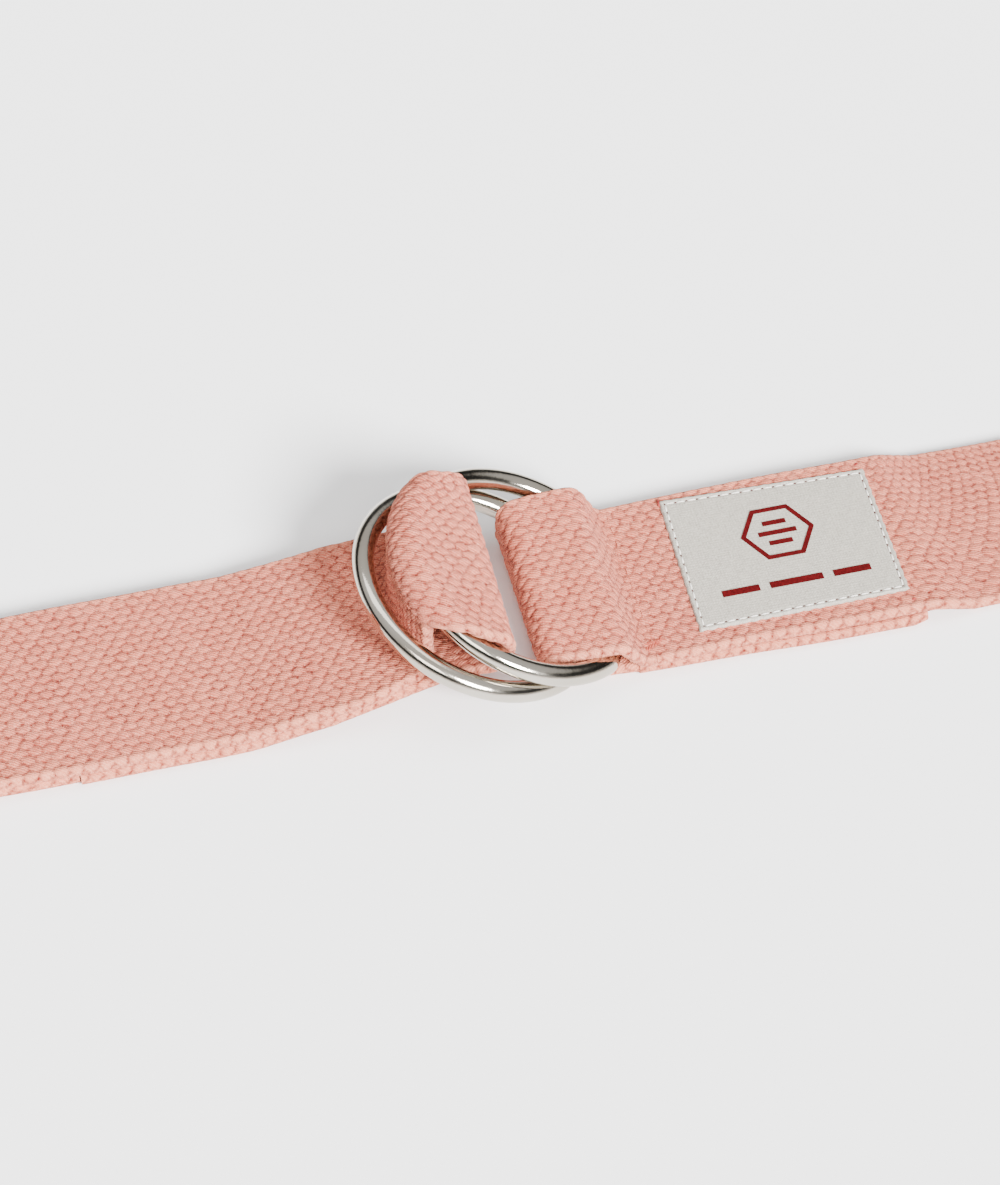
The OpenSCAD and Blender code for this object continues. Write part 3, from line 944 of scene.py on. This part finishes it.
def build_stitching():
    """The label's edge stitches with dots of painted shade at their needle holes, the seam, the back tack
    and the fold's end.
    """
    stitches("label_edge_stitches", label_stitch_places(LABEL_FACE), 1.55, 0.17, 0.16,
             label_edge_material, ["label_thread"])
    # Dark dots between the edge stitches: painted shade in the needle holes
    stitches("label_needle_holes", label_stitch_places(LABEL_TOP - 0.2, 0.5), 0.5, 0.2, 0.02,
             shade_dot_material, [])
    top = 2 * BAND_T
    seam = [((SEAM_X + 0.35, y, top + 0.8), (0.02, 1)) for y in np.arange(-17.0, 17.0, 2.3)]
    stitches("seam_stitches", seam, 1.7, 0.24, 0.2, thread_material, ["seam_thread"])
    tack = []
    for i in range(5):
        tack.append(((SEAM_X + 1.6 + i * 0.75, -16.6 + i * 0.42, top + 0.12), (0.55, 1)))
        tack.append(((SEAM_X + 1.9 + i * 0.8, -15.4 + 0.1 * i, top + 0.12), (1, -0.35)))
    stitches("back_tack_stitches", tack, 2.1, 0.22, 0.2, thread_material, ["back_tack"])
    ends = [((FOLD_END_X - 2.2, side * 16.9 + 0.2, top + 0.05), (1, 0.3)) for side in (-1, 1)]
    stitches("fold_end_stitches", ends, 1.2, 0.22, 0.2, dark_thread_material, ["fold_end_thread"])
    tick = [((LABEL_CORNERS[0][0] - 0.1, LABEL_CORNERS[0][1] - 0.5, LABEL_TOP), (0.1, 1))]
    stitches("label_corner_tick", tick, 1.9, 0.2, 0.2, dark_thread_material, [])
    low, high = box_mm("tail_hem")
    rows = []
    for z in (high[2] + 0.02, low[2] - 0.02):
        rows += [((ROLL_X, y, z), (0, 1)) for y in np.arange(-16.5, 17, 2.6)]
    stitches("hem_stitches", rows, 2.0, 0.24, 0.1, thread_material, ["hem_thread"])


build_label()
build_stitching()
recolour("label_motif", motif_material)

# ---------------------------------------------------------------- floor, lights, world

FLOOR_Z = -0.0002
FLOOR_REACH = 6.0
FLOOR_COLOUR = (0.94, 0.94, 0.94)
FLOOR_COLOUR_2 = (0.942, 0.942, 0.942)
WORLD_STRENGTH = 1.25
# The surround's greys, each with the height it is at, from the horizon (0) to straight up (1)
WORLD_GREYS = [(0.0, 0.8), (0.16, 0.5), (0.2, 0.03), (0.45, 0.03), (0.55, 0.7), (1.0, 0.95)]


def build_floor():
    """A pale, plain floor far wider than the view."""
    material, tree, shader = new_material("pale_floor")
    speckle = stretched(tree, noise(tree, 40, 2), 0.2, 0.8)
    tree.links.new(mix_colour(tree, speckle, FLOOR_COLOUR, FLOOR_COLOUR_2), shader.inputs["Base Color"])
    shader.inputs["Roughness"].default_value = 0.9
    shader.inputs["Specular IOR Level"].default_value = 0.0
    mesh = bpy.data.meshes.new("floor")
    mesh.from_pydata(
        [(x * FLOOR_REACH, y * FLOOR_REACH, FLOOR_Z) for x, y in ((-1, -1), (1, -1), (1, 1), (-1, 1))],
        [], [(0, 1, 2, 3)])
    mesh.materials.append(material)
    floor = bpy.data.objects.new("floor", mesh)
    bpy.context.scene.collection.objects.link(floor)


def area_light(name, place, aim, size, power, colour=(1, 1, 1)):
    """A rectangular soft light at place, turned towards aim; power is in watts."""
    data = bpy.data.lights.new(name, "AREA")
    data.shape = "RECTANGLE"
    data.size, data.size_y = size
    data.energy = power
    data.color = colour
    light = bpy.data.objects.new(name, data)
    light.location = place
    light.rotation_mode = "QUATERNION"
    light.rotation_quaternion = (Vector(aim) - Vector(place)).to_track_quat("-Z", "Y")
    bpy.context.scene.collection.objects.link(light)


def add_sun(towards, strength, spread):
    """A large soft key light so far off that it lights the floor evenly; spread is in degrees."""
    data = bpy.data.lights.new("sun", "SUN")
    data.energy = strength
    data.angle = math.radians(spread)
    light = bpy.data.objects.new("sun", data)
    light.rotation_mode = "QUATERNION"
    light.rotation_quaternion = Vector(towards).to_track_quat("Z", "Y")
    bpy.context.scene.collection.objects.link(light)


def build_world():
    """A grey surround with one dark band above the horizon for the metal to reflect."""
    world = bpy.data.worlds.new("studio")
    world.use_nodes = True
    tree = world.node_tree
    background = tree.nodes["Background"]
    where = node(tree, "ShaderNodeTexCoord").outputs["Generated"]
    split = node(tree, "ShaderNodeSeparateXYZ")
    tree.links.new(where, split.inputs[0])
    ramp = node(tree, "ShaderNodeValToRGB")
    tree.links.new(split.outputs["Z"], ramp.inputs[0])
    elements = ramp.color_ramp.elements
    while len(elements) < len(WORLD_GREYS):
        elements.new(0.5)
    for element, (position, grey) in zip(elements, WORLD_GREYS):
        element.position = position
        element.color = (grey, grey, grey, 1)
    tree.links.new(ramp.outputs[0], background.inputs["Color"])
    background.inputs["Strength"].default_value = WORLD_STRENGTH
    bpy.context.scene.world = world


build_floor()
add_sun(towards=(0.30, -0.78, 0.56), strength=14.5, spread=20)
area_light("key", place=(-0.35, -0.75, 0.75), aim=(-0.05, 0.0, 0.0), size=(0.5, 0.35), power=5.0,
           colour=(1.0, 0.985, 0.96))
area_light("top", place=(0.05, 0.25, 1.1), aim=(-0.05, 0.0, 0.0), size=(1.2, 0.5), power=6.0)
build_world()
